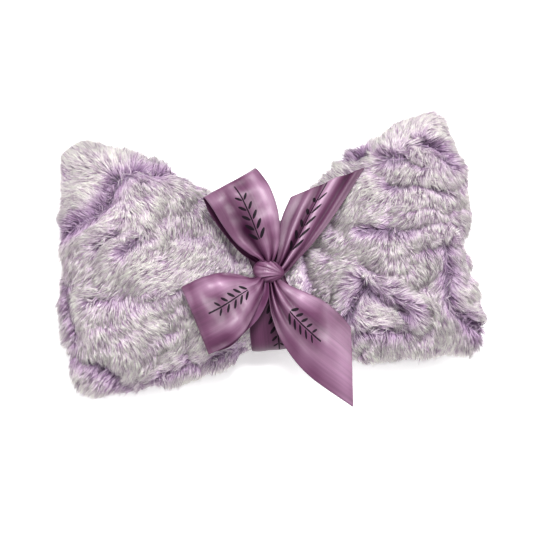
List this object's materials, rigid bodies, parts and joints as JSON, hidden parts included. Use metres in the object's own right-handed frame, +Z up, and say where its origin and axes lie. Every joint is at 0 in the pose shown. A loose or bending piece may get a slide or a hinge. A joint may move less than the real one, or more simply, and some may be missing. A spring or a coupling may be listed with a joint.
{
  "type": "eye pillow",
  "caption": "Plush fur eye pillow of two seed-filled lobes, gathered at the waist by a satin ribbon tied in a bow.",
  "frame": {"origin": "on the resting plane, under the bow's knot, midway along the pillow", "axes": "X along the pillow's length, +Y towards the deeply gathered long edge, +Z up through the bow"},
  "size_m": [0.2348, 0.1629, 0.0563],
  "materials": {
    "lavender_fur": "long soft pile, frosted tips",
    "cotton": "plain weave",
    "seed": "loose glossy seed",
    "satin": "satin weave, soft sheen",
    "nylon_tape": "matt hook and loop"
  },
  "bodies": {
    "waist": {"cover_waist": "lavender_fur", "insert_waist": "cotton", "ribbon_band": "satin", "ribbon_knot": "satin"},
    "lobe_left": {"cover_front_left": "lavender_fur", "cover_back_left": "lavender_fur", "insert_front_left": "cotton", "insert_back_left": "cotton", "seed_fill_left": "seed"},
    "lobe_right": {"cover_front_right": "lavender_fur", "cover_back_right": "lavender_fur", "insert_front_right": "cotton", "insert_back_right": "cotton", "seed_fill_right": "seed", "closure_hook_tape": "nylon_tape", "closure_loop_tape": "nylon_tape"},
    "loop_upper": {"ribbon_loop_upper": "satin"},
    "loop_lower": {"ribbon_loop_lower": "satin"},
    "tail_upper": {"ribbon_tail_upper": "satin"},
    "tail_lower": {"ribbon_tail_lower": "satin"}
  },
  "joints": [
    {"name": "lobe_left_fold", "type": "hinge", "parent": "waist", "child": "lobe_left", "pos_m": [-0.032, -0.0065, 0.022], "axis": [0, -1, 0], "range_deg": [0, 60]},
    {"name": "lobe_right_fold", "type": "hinge", "parent": "waist", "child": "lobe_right", "pos_m": [0.032, -0.0065, 0.022], "axis": [0, 1, 0], "range_deg": [0, 60]},
    {"name": "loop_upper_lift", "type": "hinge", "parent": "waist", "child": "loop_upper", "pos_m": [-0.00507, 0.00725, 0.0453], "axis": [0.9449, 0.3272, 0], "range_deg": [0, 50]},
    {"name": "loop_lower_lift", "type": "hinge", "parent": "waist", "child": "loop_lower", "pos_m": [-0.01132, -0.00772, 0.0453], "axis": [-0.5015, 0.8652, 0], "range_deg": [0, 50]},
    {"name": "tail_upper_lift", "type": "hinge", "parent": "waist", "child": "tail_upper", "pos_m": [0.00482, 0.00595, 0.0428], "axis": [0.776, -0.6307, 0], "range_deg": [0, 50]},
    {"name": "tail_lower_lift", "type": "hinge", "parent": "waist", "child": "tail_lower", "pos_m": [0.00443, -0.01065, 0.0428], "axis": [-0.8049, -0.5934, 0], "range_deg": [0, 50]}
  ]
}
